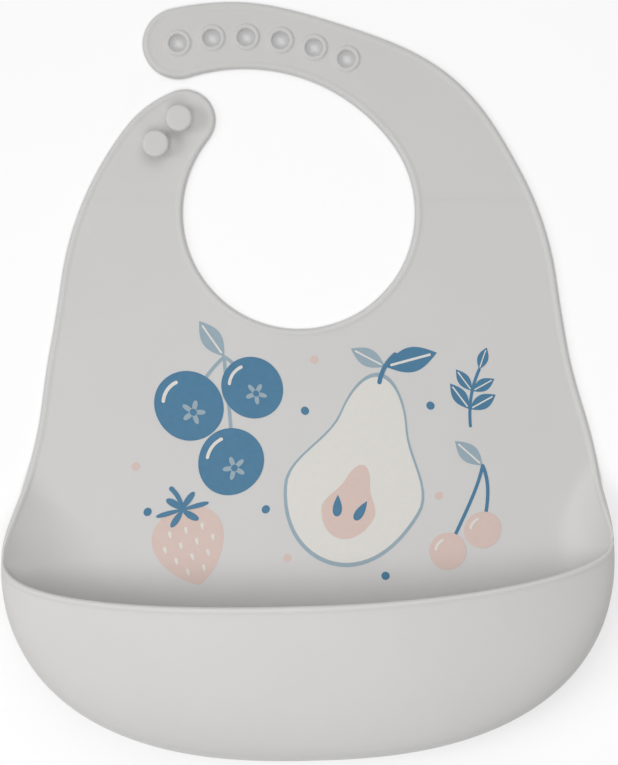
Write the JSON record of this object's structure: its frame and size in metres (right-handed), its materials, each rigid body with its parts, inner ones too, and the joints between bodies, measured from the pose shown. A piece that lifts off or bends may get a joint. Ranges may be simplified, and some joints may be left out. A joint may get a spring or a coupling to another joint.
{
  "type": "silicone bib",
  "caption": "Soft grey silicone feeding bib with a deep scoop pocket along the bottom, a short peg strap and a long strap with a row of collared holes.",
  "frame": {"origin": "under the middle of the bib's overall box, on the surface it lies on", "axes": "+Y towards the neck and straps, +Z out of the front of the bib, +X to the right seen from the front"},
  "size_m": [0.2344, 0.2939, 0.0425],
  "materials": {
    "silicone": "matte moulded silicone"
  },
  "bodies": {
    "catcher": {"lower_panel": "silicone", "catcher_pocket": "silicone"},
    "chest": {"chest_panel": "silicone"},
    "peg_strap": {"peg_strap": "silicone", "tip_peg": "silicone", "root_peg": "silicone"},
    "hole_strap": {"hole_strap": "silicone"}
  },
  "joints": [
    {"name": "chest_fold", "type": "hinge", "parent": "catcher", "child": "chest", "pos_m": [0, -0.0117, 0.003], "axis": [1, 0, 0], "range_deg": [0, 120], "stiffness_Nm_per_rad": 0.01},
    {"name": "peg_strap_fold", "type": "hinge", "parent": "chest", "child": "peg_strap", "pos_m": [-0.0877, 0.0702, 0.003], "axis": [1, 0, 0], "range_deg": [0, 120], "stiffness_Nm_per_rad": 0.002},
    {"name": "hole_strap_fold", "type": "hinge", "parent": "chest", "child": "hole_strap", "pos_m": [0.0877, 0.0702, 0.003], "axis": [1, 0, 0], "range_deg": [0, 120], "stiffness_Nm_per_rad": 0.002}
  ]
}
